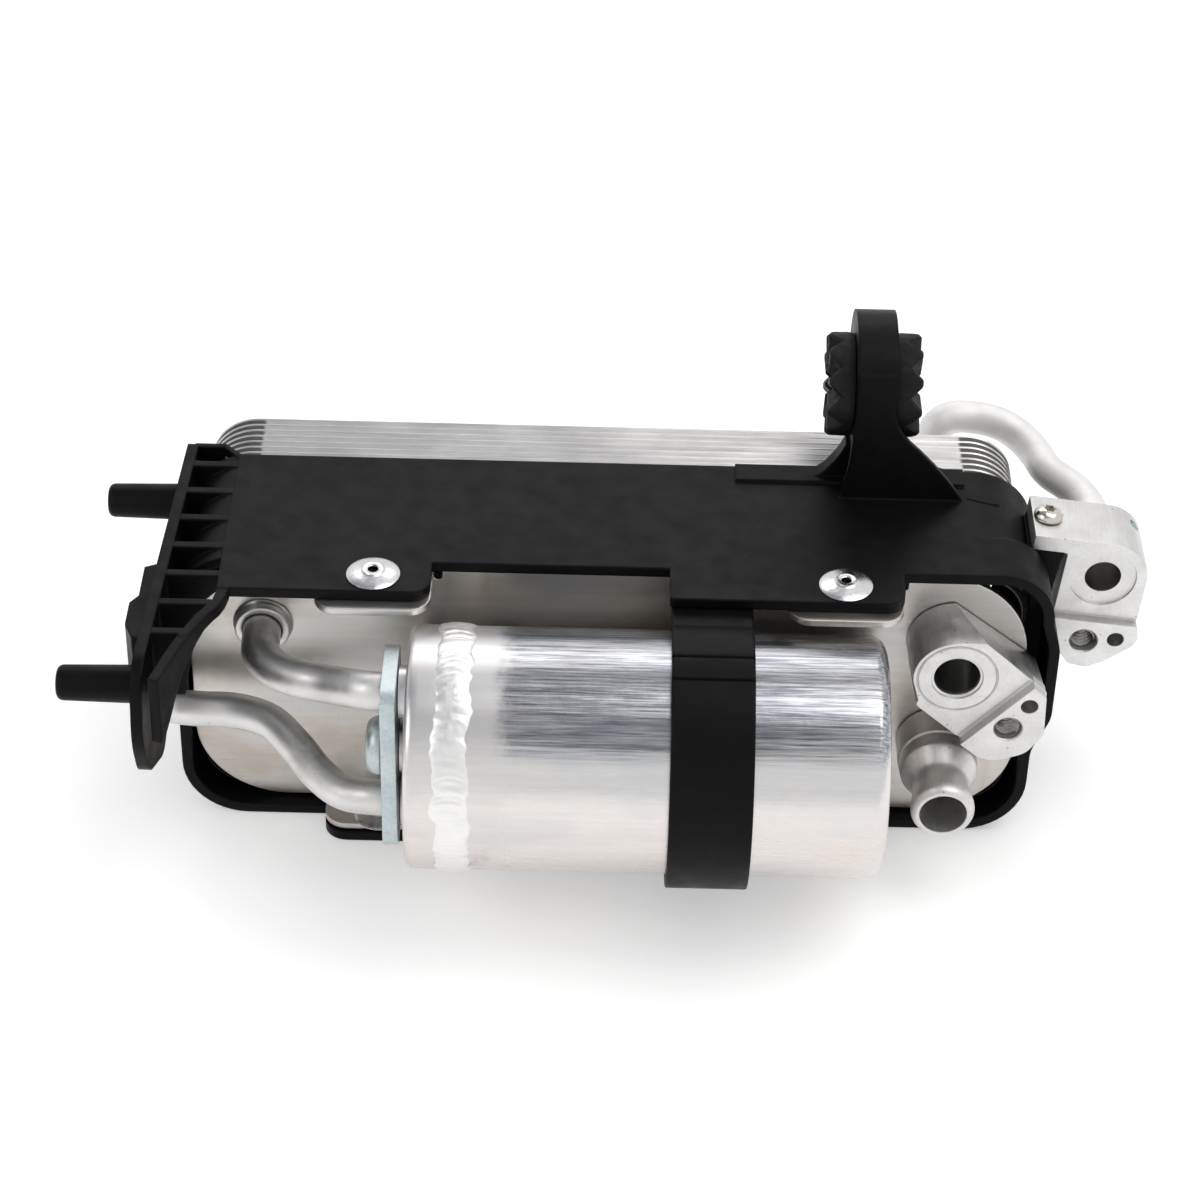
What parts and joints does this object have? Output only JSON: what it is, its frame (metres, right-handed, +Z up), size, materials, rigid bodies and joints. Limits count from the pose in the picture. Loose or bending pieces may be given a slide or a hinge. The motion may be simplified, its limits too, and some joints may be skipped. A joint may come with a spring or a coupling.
{
  "type": "air conditioning drier",
  "caption": "Liquid-cooled condenser plate stack with a receiver-drier bottle strapped to its black moulded bracket.",
  "frame": {"origin": "on the flat underside of the bracket's lower shelf, below the middle of the front end plate's face", "axes": "+X along the stack to the gas block's end, +Y from the front end plate to the back, +Z up"},
  "size_m": [0.2788, 0.1639, 0.1308],
  "materials": {
    "brushed_aluminium": "satin",
    "brazed_aluminium": "satin",
    "bottle_aluminium": "satin",
    "machined_aluminium": "satin",
    "tube_aluminium": "satin",
    "black_plastic": "matte",
    "black_rubber": "matte",
    "zinc_plated_steel": "satin",
    "rivet_aluminium": "polished",
    "screw_steel": "polished"
  },
  "bodies": {
    "root": {"front_plate": "brushed_aluminium", "core_plate_01": "brazed_aluminium", "core_plate_02": "brazed_aluminium", "core_plate_03": "brazed_aluminium", "core_plate_04": "brazed_aluminium", "core_plate_05": "brazed_aluminium", "core_plate_06": "brazed_aluminium", "core_plate_07": "brazed_aluminium", "core_plate_08": "brazed_aluminium", "core_plate_09": "brazed_aluminium", "core_plate_10": "brazed_aluminium", "core_plate_11": "brazed_aluminium", "core_plate_12": "brazed_aluminium", "core_plate_13": "brazed_aluminium", "core_plate_14": "brazed_aluminium", "core_plate_15": "brazed_aluminium", "core_plate_16": "brazed_aluminium", "core_plate_17": "brazed_aluminium", "core_plate_18": "brazed_aluminium", "core_plate_19": "brazed_aluminium", "core_plate_20": "brazed_aluminium", "core_plate_21": "brazed_aluminium", "core_plate_22": "brazed_aluminium", "core_plate_23": "brazed_aluminium", "back_plate": "brazed_aluminium", "bracket": "black_plastic", "rubber_bush": "black_rubber", "drier_bottle": "bottle_aluminium", "bottle_strap": "black_plastic", "flange_plate": "zinc_plated_steel", "flange_bolt": "zinc_plated_steel", "gas_tube": "tube_aluminium", "return_tube": "tube_aluminium", "liquid_tube": "tube_aluminium", "gas_collar": "machined_aluminium", "return_collar": "machined_aluminium", "liquid_collar": "machined_aluminium", "gas_block": "machined_aluminium", "liquid_block": "machined_aluminium", "block_screw": "screw_steel", "front_coolant_nipple": "machined_aluminium", "back_coolant_nipple": "machined_aluminium", "top_rivet_left": "rivet_aluminium", "low_rivet_left": "rivet_aluminium", "top_rivet_right": "rivet_aluminium", "low_rivet_right": "rivet_aluminium"}
  },
  "joints": []
}
